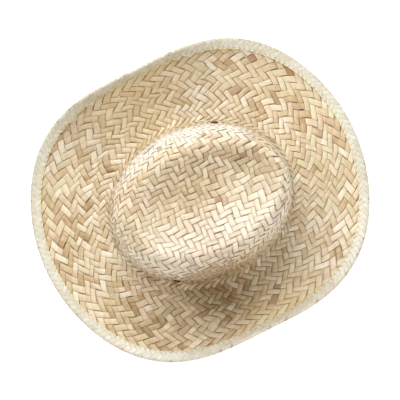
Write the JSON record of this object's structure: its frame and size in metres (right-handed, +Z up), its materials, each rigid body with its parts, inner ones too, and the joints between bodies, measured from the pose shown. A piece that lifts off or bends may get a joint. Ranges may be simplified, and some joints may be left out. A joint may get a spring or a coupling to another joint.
{
  "type": "straw cowboy hat",
  "caption": "Woven straw cowboy hat with an oval dished crown, a brim rolled up at the sides and a pale braid folded over the brim edge.",
  "frame": {"origin": "on the surface the hat rests on, under the middle of the brim", "axes": "+Z up, +Y from the front of the hat to the back, along its length, +X to one side, across it"},
  "size_m": [0.3092, 0.368, 0.1289],
  "materials": {
    "woven_straw": "flat woven straw strips, cream to tan, dull sheen",
    "binding_straw": "pale bleached straw braid, dull"
  },
  "bodies": {
    "root": {"woven_body": "woven_straw", "brim_binding": "binding_straw"}
  },
  "joints": []
}
